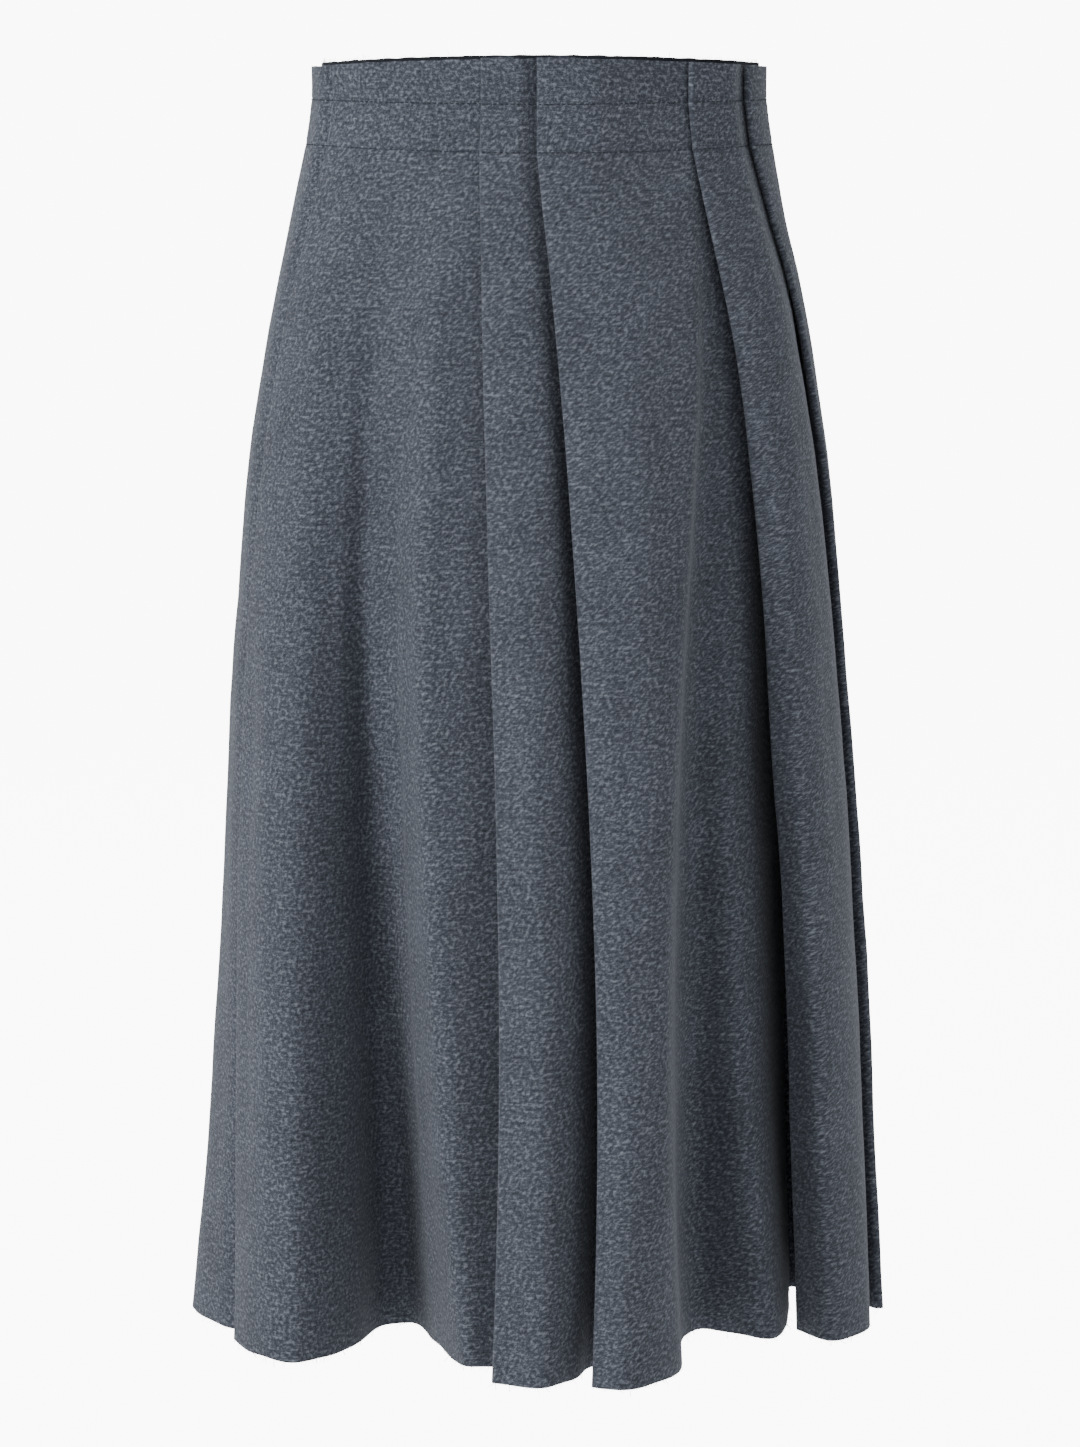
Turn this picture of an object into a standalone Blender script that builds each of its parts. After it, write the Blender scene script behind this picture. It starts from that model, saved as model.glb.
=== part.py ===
import math
import bmesh
import bpy
from mathutils import Vector

# A pleated midi skirt that stands round an empty waist. Metres, +Z up, front towards -Y, right of the front view is +X.
# The origin is the middle of the waist, level with the upper row of stitching, where the wearer's waist holds it.
WALL = 0.0014  # wool flannel
LAYER_PITCH = 0.0024  # from one pressed layer to the next in the waist
SEAM_GAP = 0.0003
SQUARE_END = 0.0018  # the wall meets a side seam square over this length
TOP_FRONT = 0.0300  # height of the top edge at centre front and back
TOP_SIDE_DIP = 0.0040  # how much lower the top edge is at the sides
RELEASE = -0.0250  # the lower row of stitching: the pleats open below it
THIGH = -0.2900
HEM = -0.7530
FOLD_RADIUS_WAIST = 0.0012  # of a fold's turn, on the middle of the wall
FOLD_RADIUS_HEM = 0.0026
BACK_DEPTH = 0.75  # the back's flutes against the front's
TAPE_WALL = 0.0010
TAPE_BELOW = 0.0100  # how far the edge tape reaches down inside
TAPE_ABOVE = 0.0024  # how far it stands above the cloth's edge
TAPE_CLEAR = 0.0005
TAPE_STEP = math.radians(4.0)
TAPE_WINDOW = (-1.0, -0.6, -0.2, 0.2, 0.6, 1.0)  # shares of a step either side that the tape also stays inside
HOOK_TALL = 0.0070
HOOK_DROP = 0.0020  # from the top edge down to the hook and bar
TURN_STEPS = 3  # flats round each fold
RUN_STEPS = 2  # flats from one named point of a panel to the next

# The hook and its bar, fastened: millimetres along the tape from the placket and in from the middle of the tape.
HOOK_PLAN = [(9.0, 0.9), (9.0, 1.9), (2.6, 1.9), (1.4, 3.0), (-6.0, 3.0), (-6.0, 2.0), (0.6, 2.0), (1.6, 0.9)]
BAR_PLAN = [(-9.0, 0.8), (-9.0, 1.7), (-1.0, 1.7), (-1.0, 0.8)]

# Outline of the skirt, a row for each height: half width, half depth, and how far its middle lies right of the waist's.
# height, half_wide, half_deep, middle_x
OUTLINE = [
    (0.0300, 0.1390, 0.1000, 0.0000),
    (0.0040, 0.1392, 0.1000, 0.0000),
    (-0.0250, 0.1430, 0.1035, 0.0000),
    (-0.0550, 0.1502, 0.1080, 0.0000),
    (-0.0910, 0.1590, 0.1140, 0.0005),
    (-0.1280, 0.1668, 0.1200, 0.0002),
    (-0.1960, 0.1768, 0.1300, -0.0005),
    (-0.2900, 0.1846, 0.1450, -0.0015),
    (-0.4200, 0.1922, 0.1560, -0.0015),
    (-0.5530, 0.2006, 0.1665, -0.0012),
    (-0.6600, 0.2085, 0.1735, -0.0018),
    (-0.7530, 0.2175, 0.1810, -0.0026),
]

# The folds of one half of the skirt, in the order of the cloth from the left side round the front to the right side.
# kind: "edge" is a pleat's outer fold, "turn" the fold hidden under it, "soft" a point of the panel between folds.
# waist_deg and waist_layer: where it lies in the stitched waist, degrees from centre front, layers in from the outside.
# thigh and hem: millimetres right of the middle and forward of it, where the pleats hang open.
# name, kind, waist_deg, waist_layer, thigh_right, thigh_forward, hem_right, hem_forward
FOLDS = [
    ("side_seam", "soft", -76.5, 2.0, -171, -2, -196, -6),
    ("side_turn", "turn", -71.0, 1.5, -165, 18, -191, 16),
    ("side_edge", "edge", -84.0, 0.5, -182, -18, -214, -28),
    ("side_crest", "soft", -77.0, 0.0, -186, 0, -220, -6),
    ("side_fall", "soft", -70.5, 0.1, -181, 22, -209, 20),
    ("side_under", "soft", -65.0, 2.0, -172, 40, -190, 44),
    ("left_turn", "turn", -51.0, 1.5, -140, 64, -148, 64),
    ("left_edge", "edge", -63.0, 0.5, -174, 54, -186, 71),
    ("left_rise", "soft", -57.0, 0.0, -164, 76, -172, 104),
    ("left_crest", "soft", -50.0, 0.0, -146, 95, -148, 121),
    ("left_wall", "soft", -43.0, 0.5, -122, 92, -117, 88),
    ("trough_left", "soft", -38.0, 0.9, -106, 82, -98, 36),
    ("trough_right", "soft", -33.0, 1.2, -93, 88, -79, 33),
    ("inner_wall", "soft", -28.0, 1.5, -82, 104, -61, 86),
    ("inner_crest", "soft", -22.0, 1.8, -67, 125, -44, 131),
    ("centre_under", "soft", -15.2, 2.0, -30, 125, -28, 131),
    ("centre_turn", "turn", -5.5, 1.5, -6, 124, 4, 124),
    ("centre_edge", "edge", -13.9, 0.5, -27.5, 143, -25.7, 165),
    ("centre_crest", "soft", -9.0, 0.0, -8, 149, 1, 177),
    ("centre_fall", "soft", -4.8, 0.0, 11, 143, 20, 158),
    ("middle_under", "soft", -0.8, 2.0, 23, 129, 32, 128),
    ("middle_turn", "turn", 9.5, 1.5, 48, 125, 64, 118),
    ("middle_edge", "edge", 0.0, 0.5, 24, 147, 34, 173),
    ("middle_crest", "soft", 5.5, 0.0, 38, 151, 50, 182),
    ("broad_panel", "soft", 15.0, 0.1, 64, 145, 70, 164),
    ("broad_corner", "soft", 39.2, 2.0, 84, 132, 84, 140),
    ("broad_wall", "soft", 42.5, 2.0, 89, 102, 88, 68),
    ("recess_start", "soft", 45.5, 2.0, 98, 88, 102, 46),
    ("recess_middle", "soft", 48.5, 2.0, 113, 82, 142, 66),
    ("right_under", "soft", 51.5, 2.0, 128, 68, 153, 42),
    ("right_turn", "turn", 54.0, 1.5, 145, 16, 163, -54),
    ("right_edge", "edge", 40.9, 0.5, 135.5, 86, 163, 46),
    ("right_crest", "soft", 47.5, 0.0, 150, 90, 180, 72),
    ("right_fall", "soft", 56.0, 0.0, 170, 62, 203, 46),
    ("outer_under", "soft", 63.0, 2.0, 177, 24, 203, 14),
    ("outer_turn", "turn", 78.0, 1.5, 168, -12, 191, -30),
    ("outer_edge", "edge", 65.0, 0.5, 183, 6, 214, -4),
    ("outer_crest", "soft", 72.0, 0.0, 184, -18, 214, -34),
    ("outer_trough", "soft", 82.0, 0.3, 171, -42, 190, -60),
    ("outer_second", "soft", 88.0, 1.2, 160, -62, 188, -82),
    ("outer_end", "soft", 94.5, 2.0, 145, -72, 162, -93),
]
# Where the half above starts and ends at each level, in degrees; the back half fills the rest of the turn.
HALF_START = (-84.0, -97.5, -98.5)
HALF_END = (96.0, 121.5, 124.0)

# height of each ring of cloth below the top edge, a row each
RINGS = [RELEASE, -0.0640, -0.1240, -0.2100, -0.3400, -0.5300, HEM]

MATERIALS = {
    "wool_blue_grey": ((0.067, 0.080, 0.098), 0.92, 0.0),
    "edge_tape_dark": ((0.012, 0.014, 0.020), 0.85, 0.0),
    "hook_steel": ((0.42, 0.42, 0.43), 0.35, 1.0),
}


def blend(rows, height):
    """Values of the outline at a height, straight between its rows."""
    if height >= rows[0][0]:
        return rows[0][1:]
    for upper, lower in zip(rows, rows[1:]):
        if height >= lower[0]:
            share = (upper[0] - height) / (upper[0] - lower[0])
            return [a + (b - a) * share for a, b in zip(upper[1:], lower[1:])]
    return rows[-1][1:]


def polar(right, forward):
    """Angle from the front and distance from the middle, where the outline is a unit circle."""
    return math.atan2(right, forward), math.hypot(right, forward)


def level_polars(fold):
    """A fold's angle and distance in the outline's own scale at the waist, thigh and hem."""
    name, kind, waist_deg, layer, thigh_right, thigh_forward, hem_right, hem_forward = fold
    half_wide, half_deep, middle = blend(OUTLINE, RELEASE)
    angle = math.radians(waist_deg)
    reach = math.hypot(half_wide * math.sin(angle), half_deep * math.cos(angle))
    polars = [(angle, 1.0 - layer * LAYER_PITCH / reach)]
    for height, right, forward in ((THIGH, thigh_right, thigh_forward), (HEM, hem_right, hem_forward)):
        half_wide, half_deep, middle = blend(OUTLINE, height)
        polars.append(polar((right / 1000 - middle) / half_wide, forward / 1000 / half_deep))
    return polars


def back_polars(polars):
    """The same fold carried to the back half, which fills the rest of the turn and is shallower."""
    moved = []
    for level, (angle, reach) in enumerate(polars):
        start = math.radians(HALF_START[level])
        end = math.radians(HALF_END[level])
        share = (2 * math.pi - (end - start)) / (end - start)
        depth = 1.0 if level == 0 else BACK_DEPTH
        moved.append((end + (angle - start) * share, 1.0 - (1.0 - reach) * depth))
    return moved


def place(polars, height):
    """A fold's point at a height: a smooth curve through its waist, thigh and hem places."""
    fall = max(0.0, (RELEASE - height) / (RELEASE - HEM))
    knee = (RELEASE - THIGH) / (RELEASE - HEM)
    weights = (
        (fall - knee) * (fall - 1) / knee,
        fall * (fall - 1) / (knee * (knee - 1)),
        fall * (fall - knee) / (1 - knee),
    )
    half_wide, half_deep, middle = blend(OUTLINE, height)
    right = sum(w * r * math.sin(a) for w, (a, r) in zip(weights, polars))
    forward = sum(w * r * math.cos(a) for w, (a, r) in zip(weights, polars))
    return Vector((middle + right * half_wide, -forward * half_deep))


def fold_radius(height):
    fall = max(0.0, (RELEASE - height) / (RELEASE - HEM))
    return FOLD_RADIUS_WAIST + (FOLD_RADIUS_HEM - FOLD_RADIUS_WAIST) * fall


def round_fold(centre, before, after, radius, side):
    """Points round a fold's turn. side is -1 for a hidden turn and 1 for an outer edge."""
    start = (centre - before).normalized()
    finish = (after - centre).normalized()
    first = math.atan2(start.y, start.x)
    sweep = (math.atan2(finish.y, finish.x) - first) * side % (2 * math.pi)
    if sweep > 1.7 * math.pi:
        sweep -= 2 * math.pi
    points = []
    for step in range(TURN_STEPS + 1):
        heading = first + side * sweep * step / TURN_STEPS
        points.append(centre + radius * side * Vector((math.sin(heading), -math.cos(heading))))
    return points, start, finish


def through(points, steps, lead=None, trail=None):
    """A smooth line through points, without its first one."""
    line = []
    for i in range(len(points) - 1):
        a, b = points[i], points[i + 1]
        span = (b - a).length
        if i:
            slope_a = (b - points[i - 1]) * (span / ((b - a).length + (a - points[i - 1]).length))
        else:
            slope_a = (lead if lead else (b - a).normalized()) * span
        if i < len(points) - 2:
            slope_b = (points[i + 2] - a) * (span / ((b - a).length + (points[i + 2] - b).length))
        else:
            slope_b = (trail if trail else (b - a).normalized()) * span
        for step in range(1, steps + 1):
            u = step / steps
            line.append(
                a * (2 * u**3 - 3 * u**2 + 1)
                + slope_a * (u**3 - 2 * u**2 + u)
                + b * (3 * u**2 - 2 * u**3)
                + slope_b * (u**3 - u**2)
            )
    return line


def all_folds():
    """Every fold round the skirt as (kind, polars), the front half first, each half starting at its side seam."""
    front = [(fold[1], level_polars(fold)) for fold in FOLDS]
    return front, [(kind, back_polars(polars)) for kind, polars in front]


def cloth_line(folds, other_half, height):
    """The middle of the wall at a height, from one side seam to the next, as points in plan."""
    stops = folds + other_half[:1]
    spots = [place(polars, height) for kind, polars in stops]
    radius = fold_radius(height)
    lead = (spots[1] - place(other_half[-1][1], height)).normalized()
    last_heading = (place(other_half[1][1], height) - spots[-2]).normalized()
    line = [spots[0] + lead * (SEAM_GAP / 2), spots[0] + lead * SQUARE_END]
    waiting = [line[-1]]
    for i in range(1, len(stops)):
        kind = stops[i][0]
        if kind == "soft" and i < len(stops) - 1:
            waiting.append(spots[i])
            continue
        if i == len(stops) - 1:
            line += through(waiting + [spots[i] - last_heading * SQUARE_END], RUN_STEPS, lead, last_heading)
            line.append(spots[i] - last_heading * (SEAM_GAP / 2))
            break
        side = 1 if kind == "edge" else -1
        before = spots[i - 1]
        if stops[i - 1][0] == "turn":
            halfway = [
                ((a + c) / 2, (b + d) / 2) for (a, b), (c, d) in zip(stops[i - 1][1], stops[i][1])
            ]
            before = place(halfway, height)
            waiting.append(before)
        after = spots[i + 1]
        if kind == "turn":
            halfway = [
                ((a + c) / 2, (b + d) / 2) for (a, b), (c, d) in zip(stops[i][1], stops[i + 1][1])
            ]
            after = place(halfway, height)
        arc, arrive, leave = round_fold(spots[i], before, after, radius, side)
        line += through(waiting + [arc[0]], RUN_STEPS, lead, arrive)
        line += arc[1:]
        waiting = [arc[-1]]
        lead = leave
    return line


def top_height(point):
    """The top edge dips at the sides."""
    half_wide, half_deep, middle = blend(OUTLINE, TOP_FRONT)
    return TOP_FRONT - TOP_SIDE_DIP * min(1.0, (point.x / half_wide) ** 2)


def clear_scene():
    for item in list(bpy.data.objects):
        bpy.data.objects.remove(item, do_unlink=True)


def material(name):
    colour, roughness, metallic = MATERIALS[name]
    made = bpy.data.materials.new(name)
    made.use_nodes = True
    shader = made.node_tree.nodes["Principled BSDF"]
    shader.inputs["Base Color"].default_value = (*colour, 1.0)
    shader.inputs["Roughness"].default_value = roughness
    shader.inputs["Metallic"].default_value = metallic
    return made


def new_object(name, vertices, faces, material_name, collection):
    mesh = bpy.data.meshes.new(name)
    mesh.from_pydata(vertices, [], faces)
    mesh.materials.append(material(material_name))
    made = bpy.data.objects.new(name, mesh)
    collection.objects.link(made)
    return made


def thicken(made, wall):
    solidify = made.modifiers.new("wall", "SOLIDIFY")
    solidify.thickness = wall
    solidify.offset = 0.0
    solidify.use_even_offset = True
    solidify.use_quality_normals = True


def sheet_faces(rings, across):
    return [
        (r * across + c, (r + 1) * across + c, (r + 1) * across + c + 1, r * across + c + 1)
        for r in range(rings - 1)
        for c in range(across - 1)
    ]


def cloth_panel(name, folds, other_half, collection):
    """Half of the skirt from side seam to side seam, lofted through its rings."""
    top_line = cloth_line(folds, other_half, TOP_FRONT)
    vertices = [(p.x, p.y, top_height(p)) for p in top_line]
    for height in RINGS:
        vertices += [(p.x, p.y, height) for p in cloth_line(folds, other_half, height)]
    faces = sheet_faces(len(RINGS) + 1, len(top_line))
    made = new_object(name, vertices, faces, "wool_blue_grey", collection)
    thicken(made, WALL)
    return made


def innermost(lines, angle):
    """Distance from the middle of the waist to the first cloth that a ray at this angle meets."""
    ray = Vector((math.sin(angle), -math.cos(angle)))
    nearest = math.inf
    for line in lines:
        for a, b in zip(line, line[1:]):
            edge = b - a
            cross = ray.x * edge.y - ray.y * edge.x
            if abs(cross) < 1e-12:
                continue
            distance = (a.x * edge.y - a.y * edge.x) / cross
            share = (a.x * ray.y - a.y * ray.x) / cross
            if distance > 0 and 0 <= share <= 1:
                nearest = min(nearest, distance)
    return nearest


def tape_line(lines, placket):
    """The middle of the edge tape, just inside the innermost layer of cloth, all round from placket to placket."""
    inset = WALL / 2 + TAPE_CLEAR + TAPE_WALL / 2
    count = round(2 * math.pi / TAPE_STEP)
    points = []
    for i in range(count + 1):
        angle = placket + 2 * math.pi * i / count
        spread = [innermost(lines, angle + TAPE_STEP * share) for share in TAPE_WINDOW]
        reach = min(spread) - inset
        points.append(Vector((reach * math.sin(angle), -reach * math.cos(angle))))
    along = (points[1] - points[-2]).normalized()
    points[0] = points[0] + along * (SEAM_GAP / 2)
    points[-1] = points[-1] - along * (SEAM_GAP / 2)
    return points


def edge_tape(lines, placket, collection):
    """A dark tape sewn inside the top edge, standing a little above the cloth, open at the placket."""
    line = tape_line(lines, placket)
    vertices = [(p.x, p.y, top_height(p) + TAPE_ABOVE) for p in line]
    vertices += [(p.x, p.y, top_height(p) - TAPE_BELOW) for p in line]
    made = new_object("edge_tape", vertices, sheet_faces(2, len(line)), "edge_tape_dark", collection)
    thicken(made, TAPE_WALL)
    return line


def fastener(name, outline, origin, along, collection):
    """A stamped metal piece: an outline in plan, in millimetres along the tape and in from it, drawn upwards."""
    inward = Vector((-along.y, along.x))
    level = top_height(origin) - HOOK_DROP
    plan = [origin + along * (t / 1000) + inward * (n / 1000) for t, n in outline]
    count = len(plan)
    vertices = [(p.x, p.y, level) for p in plan] + [(p.x, p.y, level - HOOK_TALL) for p in plan]
    faces = [tuple(range(count)), tuple(range(2 * count - 1, count - 1, -1))]
    faces += [(i, i + count, (i + 1) % count + count, (i + 1) % count) for i in range(count)]
    made = new_object(name, vertices, faces, "hook_steel", collection)
    tidy = bmesh.new()
    tidy.from_mesh(made.data)
    bmesh.ops.recalc_face_normals(tidy, faces=tidy.faces)
    tidy.to_mesh(made.data)
    tidy.free()


def build():
    clear_scene()
    parts = bpy.data.collections.new("pleated_skirt")
    bpy.context.scene.collection.children.link(parts)
    front, back = all_folds()
    cloth_panel("front_panel", front, back, parts)
    cloth_panel("back_panel", back, front, parts)
    waist = [cloth_line(front, back, TOP_FRONT), cloth_line(back, front, TOP_FRONT)]
    start = place(back[0][1], TOP_FRONT)
    placket = math.atan2(start.x, -start.y)
    line = edge_tape(waist, placket, parts)
    along = (line[1] - line[-2]).normalized()
    middle = (line[0] + line[-1]) / 2
    fastener("waist_hook", HOOK_PLAN, middle, along, parts)
    fastener("waist_bar", BAR_PLAN, middle, along, parts)


build()
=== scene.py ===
import math

import bpy
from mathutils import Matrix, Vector, noise


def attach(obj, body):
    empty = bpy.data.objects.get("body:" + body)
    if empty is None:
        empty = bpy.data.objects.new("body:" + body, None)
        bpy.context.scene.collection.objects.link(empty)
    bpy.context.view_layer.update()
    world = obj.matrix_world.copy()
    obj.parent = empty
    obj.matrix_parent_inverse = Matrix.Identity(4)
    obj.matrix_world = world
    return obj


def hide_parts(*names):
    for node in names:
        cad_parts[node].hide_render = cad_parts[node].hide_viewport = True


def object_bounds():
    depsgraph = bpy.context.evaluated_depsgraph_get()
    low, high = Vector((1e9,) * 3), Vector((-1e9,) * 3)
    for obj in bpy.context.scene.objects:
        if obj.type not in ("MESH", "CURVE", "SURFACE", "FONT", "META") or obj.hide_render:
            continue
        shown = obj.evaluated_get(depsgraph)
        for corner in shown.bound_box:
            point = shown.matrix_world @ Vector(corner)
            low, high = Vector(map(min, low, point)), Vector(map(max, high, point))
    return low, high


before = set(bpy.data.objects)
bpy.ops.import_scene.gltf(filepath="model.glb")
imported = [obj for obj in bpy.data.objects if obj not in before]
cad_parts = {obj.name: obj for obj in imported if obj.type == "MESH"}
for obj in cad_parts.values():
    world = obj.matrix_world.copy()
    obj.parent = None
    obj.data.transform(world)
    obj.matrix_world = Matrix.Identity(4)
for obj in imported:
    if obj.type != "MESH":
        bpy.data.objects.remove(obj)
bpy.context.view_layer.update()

# Metres. The origin is the middle of the waist; the front faces -Y.
cloth = {
    "wall": 0.0014,  # thickness of the flannel
    "layerPitch": 0.0024,  # between pressed layers in the waist
    "seamGap": 0.0003,
    "squareEnd": 0.0018,  # the wall meets a side seam square over this length
    "topFront": 0.0300,
    "release": -0.0250,  # lower stitch row, where the pleats open
    "thigh": -0.2900,
    "hem": -0.7530,
    "foldRadiusWaist": 0.0012,
    "foldRadiusHem": 0.0026,
    "backDepth": 0.75,
    "turnSteps": 8,  # round each fold
    "runSteps": 9,  # from one named fold to the next
    "widestTurn": 1.7 * math.pi,  # past this a fold bends the other way
}

# height, halfWide, halfDeep, middleRight
outline = [
    (0.0300, 0.1390, 0.1000, 0.0000),
    (0.0040, 0.1392, 0.1000, 0.0000),
    (-0.0250, 0.1430, 0.1035, 0.0000),
    (-0.0550, 0.1502, 0.1080, 0.0000),
    (-0.0910, 0.1590, 0.1140, 0.0005),
    (-0.1280, 0.1668, 0.1200, 0.0002),
    (-0.1960, 0.1768, 0.1300, -0.0005),
    (-0.2900, 0.1846, 0.1450, -0.0015),
    (-0.4200, 0.1922, 0.1560, -0.0015),
    (-0.5530, 0.2006, 0.1665, -0.0012),
    (-0.6600, 0.2085, 0.1735, -0.0018),
    (-0.7530, 0.2175, 0.1810, -0.0026),
]

# One half of the cloth, in order from the left side seam round the front to the right one.
# edge is a pleat's outer fold, turn the fold hidden under it, soft a point of the panel between.
# name, kind, waistDeg, waistLayer, thighRight, thighForward, hemRight, hemForward (millimetres)
folds = [
    ("sideSeam", "soft", -76.5, 2.0, -171, -2, -196, -6),
    ("sideTurn", "turn", -71.0, 1.5, -165, 18, -191, 16),
    ("sideEdge", "edge", -84.0, 0.5, -182, -18, -214, -28),
    ("sideCrest", "soft", -77.0, 0.0, -186, 0, -220, -6),
    ("sideFall", "soft", -70.5, 0.1, -181, 22, -209, 20),
    ("sideUnder", "soft", -65.0, 2.0, -172, 40, -190, 44),
    ("leftTurn", "turn", -51.0, 1.5, -140, 64, -148, 64),
    ("leftEdge", "edge", -63.0, 0.5, -174, 54, -186, 71),
    ("leftRise", "soft", -57.0, 0.0, -164, 76, -172, 104),
    ("leftCrest", "soft", -50.0, 0.0, -146, 95, -148, 121),
    ("leftWall", "soft", -43.0, 0.5, -122, 92, -117, 88),
    ("troughLeft", "soft", -38.0, 0.9, -106, 82, -98, 36),
    ("troughRight", "soft", -33.0, 1.2, -93, 88, -79, 33),
    ("innerWall", "soft", -28.0, 1.5, -82, 104, -61, 86),
    ("innerCrest", "soft", -22.0, 1.8, -67, 125, -44, 131),
    ("centreUnder", "soft", -15.2, 2.0, -30, 125, -28, 131),
    ("centreTurn", "turn", -5.5, 1.5, -6, 124, 4, 124),
    ("centreEdge", "edge", -13.9, 0.5, -27.5, 143, -25.7, 165),
    ("centreCrest", "soft", -9.0, 0.0, -8, 149, 1, 177),
    ("centreFall", "soft", -4.8, 0.0, 11, 143, 20, 158),
    ("middleUnder", "soft", -0.8, 2.0, 23, 129, 32, 128),
    ("middleTurn", "turn", 9.5, 1.5, 48, 125, 64, 118),
    ("middleEdge", "edge", 0.0, 0.5, 24, 147, 34, 173),
    ("middleCrest", "soft", 5.5, 0.0, 38, 151, 50, 182),
    ("broadPanel", "soft", 15.0, 0.1, 64, 145, 70, 164),
    ("broadCorner", "soft", 39.2, 2.0, 84, 132, 84, 140),
    ("broadWall", "soft", 42.5, 2.0, 89, 102, 88, 68),
    ("recessStart", "soft", 45.5, 2.0, 98, 88, 102, 46),
    ("recessMiddle", "soft", 48.5, 2.0, 113, 82, 142, 66),
    ("rightUnder", "soft", 51.5, 2.0, 128, 68, 153, 42),
    ("rightTurn", "turn", 54.0, 1.5, 145, 16, 163, -54),
    ("rightEdge", "edge", 40.9, 0.5, 135.5, 86, 163, 46),
    ("rightCrest", "soft", 47.5, 0.0, 150, 90, 180, 72),
    ("rightFall", "soft", 56.0, 0.0, 170, 62, 203, 46),
    ("outerUnder", "soft", 63.0, 2.0, 177, 24, 203, 14),
    ("outerTurn", "turn", 78.0, 1.5, 168, -12, 191, -30),
    ("outerEdge", "edge", 65.0, 0.5, 183, 6, 214, -4),
    ("outerCrest", "soft", 72.0, 0.0, 184, -18, 214, -34),
    ("outerTrough", "soft", 82.0, 0.3, 171, -42, 190, -60),
    ("outerSecond", "soft", 88.0, 1.2, 160, -62, 188, -82),
    ("outerEnd", "soft", 94.5, 2.0, 145, -72, 162, -93),
]
halfStart = (-84.0, -97.5, -98.5)  # degrees at waist, thigh and hem
halfEnd = (96.0, 121.5, 124.0)

# Soft creases laid on top of the folds.
# half, fold it starts beside, shift along the folds at top and bottom, top, bottom, height and width in mm
creases = [
    ("front", "broadPanel", 0.20, -0.35, -0.10, -0.74, 1.6, 13),
    ("front", "broadPanel", 0.75, 0.35, -0.16, -0.70, -1.3, 11),
    ("front", "broadPanel", 0.55, 0.60, -0.03, -0.24, -1.0, 12),
    ("front", "centreCrest", -0.1, 0.0, -0.30, -0.753, 1.2, 8),
    ("front", "centreFall", 0.1, 0.0, -0.26, -0.72, -1.2, 7),
    ("front", "innerCrest", 0.45, 0.30, -0.08, -0.50, -1.8, 9),
    ("front", "innerCrest", -0.1, 0.0, -0.18, -0.753, 1.2, 8),
    ("front", "troughRight", 0.55, 0.6, -0.15, -0.70, -1.5, 7),
    ("front", "troughLeft", 0.5, 0.65, -0.22, -0.70, 1.6, 7),
    ("front", "leftWall", -0.2, 0.1, -0.16, -0.60, -1.2, 10),
    ("front", "leftRise", 0.2, 0.4, -0.25, -0.753, 1.3, 10),
    ("front", "leftEdge", 0.6, 0.5, -0.30, -0.70, -0.9, 8),
    ("front", "recessMiddle", -0.3, -0.1, -0.34, -0.72, 1.2, 9),
    ("front", "rightCrest", -0.2, 0.1, -0.36, -0.753, 1.1, 9),
    ("front", "rightFall", 0.1, -0.2, -0.10, -0.52, -1.0, 10),
    ("front", "sideFall", 0.0, 0.2, -0.12, -0.60, 1.0, 9),
    ("back", "broadPanel", 0.30, -0.1, -0.12, -0.74, 1.5, 12),
    ("back", "broadPanel", 0.70, 0.5, -0.10, -0.56, -1.3, 12),
    ("back", "innerCrest", 0.30, 0.2, -0.10, -0.60, -1.6, 9),
    ("back", "leftCrest", -0.1, 0.1, -0.20, -0.74, 1.3, 10),
    ("back", "leftWall", 0.1, -0.1, -0.12, -0.58, -1.2, 9),
    ("back", "centreCrest", 0.0, 0.1, -0.32, -0.753, 1.1, 8),
    ("back", "rightCrest", 0.0, -0.1, -0.22, -0.70, 1.1, 9),
    ("back", "middleCrest", 0.2, 0.0, -0.28, -0.753, -1.0, 8),
]


def outlineAt(height):
    # smooth between the rows, level above the first and below the last
    if height >= outline[0][0]:
        return outline[0][1:]
    if height <= outline[-1][0]:
        return outline[-1][1:]
    i = next(n for n in range(len(outline) - 1) if height >= outline[n + 1][0])
    rows = [outline[max(0, i - 1)], outline[i], outline[i + 1], outline[min(len(outline) - 1, i + 2)]]
    span = rows[1][0] - rows[2][0]
    u = (rows[1][0] - height) / span
    values = []
    for column in (1, 2, 3):
        slopeA = (rows[2][column] - rows[0][column]) / (rows[0][0] - rows[2][0]) * span
        slopeB = (rows[3][column] - rows[1][column]) / (rows[1][0] - rows[3][0]) * span
        values.append(hermite(rows[1][column], slopeA, rows[2][column], slopeB, u))
    return values


def hermite(a, slopeA, b, slopeB, u):
    return (
        a * (2 * u**3 - 3 * u**2 + 1)
        + slopeA * (u**3 - 2 * u**2 + u)
        + b * (3 * u**2 - 2 * u**3)
        + slopeB * (u**3 - u**2)
    )


def easeInOut(x):
    x = max(0.0, min(1.0, x))
    return x * x * (3 - 2 * x)


def foldPolars(fold):
    # angle and distance of a fold in the outline's own scale, at waist, thigh and hem
    name, kind, waistDeg, layer, thighRight, thighForward, hemRight, hemForward = fold
    halfWide, halfDeep, middle = outlineAt(cloth["release"])
    angle = math.radians(waistDeg)
    reach = math.hypot(halfWide * math.sin(angle), halfDeep * math.cos(angle))
    polars = [(angle, 1.0 - layer * cloth["layerPitch"] / reach)]
    for level, right, forward in (("thigh", thighRight, thighForward), ("hem", hemRight, hemForward)):
        halfWide, halfDeep, middle = outlineAt(cloth[level])
        across = (right / 1000 - middle) / halfWide
        ahead = forward / 1000 / halfDeep
        polars.append((math.atan2(across, ahead), math.hypot(across, ahead)))
    return polars


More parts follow.
